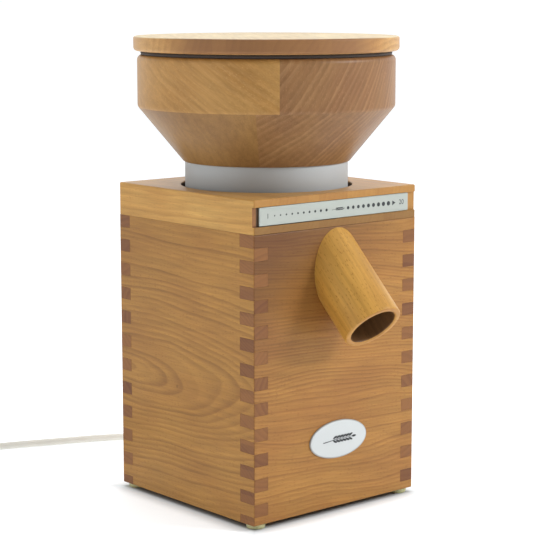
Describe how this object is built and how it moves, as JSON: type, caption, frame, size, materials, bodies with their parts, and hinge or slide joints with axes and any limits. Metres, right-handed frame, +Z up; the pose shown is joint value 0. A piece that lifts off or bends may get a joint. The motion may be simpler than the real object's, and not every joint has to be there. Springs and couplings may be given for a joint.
{
  "type": "grain mill",
  "caption": "Electric household grain mill: finger-jointed beech cabinet with motor and stone burrs, turned screw-down hopper with lid, aluminium collar and slanting outlet spout.",
  "frame": {"origin": "on the table, under the middle of the mill's bounding box; the grinding axis stands 18.3 mm behind it", "axes": "+Z up, -Y towards the user's side with the spout, +X to the right seen from the front"},
  "size_m": [0.3453, 0.4169, 0.382],
  "materials": {
    "beech": "oiled beech, satin",
    "beech_bowl": "oiled beech in glued segments, satin",
    "beech_spout": "oiled beech, lighter, satin",
    "beech_lid": "oiled beech, satin",
    "plywood": "birch plywood, plain",
    "anodised_aluminium": "silver, anodised, matt",
    "turned_aluminium": "turned and brushed round the axis",
    "cast_aluminium": "as cast",
    "corundum": "coarse grinding stone",
    "steel": "zinc plated",
    "lamination": "stacked sheets, dark",
    "copper": "enamelled copper wire",
    "brass": "plain",
    "pin_brass": "nickel plated",
    "capacitor_can": "drawn can",
    "black_plastic": "moulded, satin",
    "grey_plastic": "moulded",
    "pale_plastic": "moulded",
    "cord_plastic": "off-white cable sheath",
    "tie_plastic": "woven strap",
    "foot_rubber": "translucent pale bumper",
    "seal_rubber": "dark",
    "felt": "pressed wool felt"
  },
  "bodies": {
    "cabinet": {"back_board": "beech", "base_plate": "plywood", "cable_gland": "cord_plastic", "capacitor_clip": "steel", "cord_coil": "cord_plastic", "cord_tail": "cord_plastic", "cord_tie": "tie_plastic", "foot_1": "foot_rubber", "foot_2": "foot_rubber", "foot_3": "foot_rubber", "foot_4": "foot_rubber", "front_badge": "anodised_aluminium", "front_board": "beech", "hanging_post_1": "steel", "hanging_post_2": "steel", "hanging_post_3": "steel", "hanging_post_4": "steel", "left_board": "beech", "lower_bearing": "steel", "lower_bell": "cast_aluminium", "lower_winding": "copper", "milling_chamber": "cast_aluminium", "motor_plate": "steel", "motor_stator": "lamination", "plug_body": "cord_plastic", "plug_pin_left": "pin_brass", "plug_pin_right": "pin_brass", "power_cord": "cord_plastic", "right_board": "beech", "run_capacitor": "capacitor_can", "scale_strip": "anodised_aluminium", "shaft_seal": "felt", "spout": "beech_spout", "strain_relief": "cord_plastic", "switch_frame": "black_plastic", "terminal_block": "pale_plastic", "top_plate": "beech", "upper_bearing": "steel", "upper_bell": "cast_aluminium", "upper_winding": "copper"},
    "spindle": {"motor_shaft": "steel", "motor_rotor": "lamination", "cooling_fan": "black_plastic", "stone_carrier": "cast_aluminium", "lower_stone": "corundum", "sweeper_left": "steel", "sweeper_right": "steel", "stone_nut": "brass", "feed_agitator": "steel"},
    "collar_seal": {"dust_seal": "felt"},
    "hopper": {"hopper_bowl": "beech_bowl", "collar_ring": "turned_aluminium", "feed_funnel": "pale_plastic", "throat_guard": "steel", "stone_holder": "grey_plastic", "upper_stone": "corundum"},
    "lid": {"hopper_lid": "beech_lid", "lid_seal": "seal_rubber"},
    "rocker": {"switch_rocker": "black_plastic"}
  },
  "joints": [
    {"name": "spindle_spin", "type": "hinge", "parent": "cabinet", "child": "spindle", "pos_m": [0, 0.01832, 0.18], "axis": [0, 0, 1], "continuous": true},
    {"name": "hopper_rise", "type": "slide", "parent": "cabinet", "child": "collar_seal", "axis": [0, 0, 1], "range_m": [-0.0005, 0.0115]},
    {"name": "hopper_turn", "type": "hinge", "parent": "collar_seal", "child": "hopper", "pos_m": [0, 0.01832, 0.28], "axis": [0, 0, 1], "range_deg": [-40, 1000]},
    {"name": "lid_lift", "type": "slide", "parent": "hopper", "child": "lid", "axis": [0, 0, 1], "range_m": [0, 0.12]},
    {"name": "switch_press", "type": "hinge", "parent": "cabinet", "child": "rocker", "pos_m": [-0.04, 0.10232, 0.15], "axis": [1, 0, 0], "range_deg": [-18, 0]}
  ],
  "couplings": [
    {"joint": "hopper_rise", "follows": "hopper_turn", "m_per_rad": 0.00063662}
  ]
}
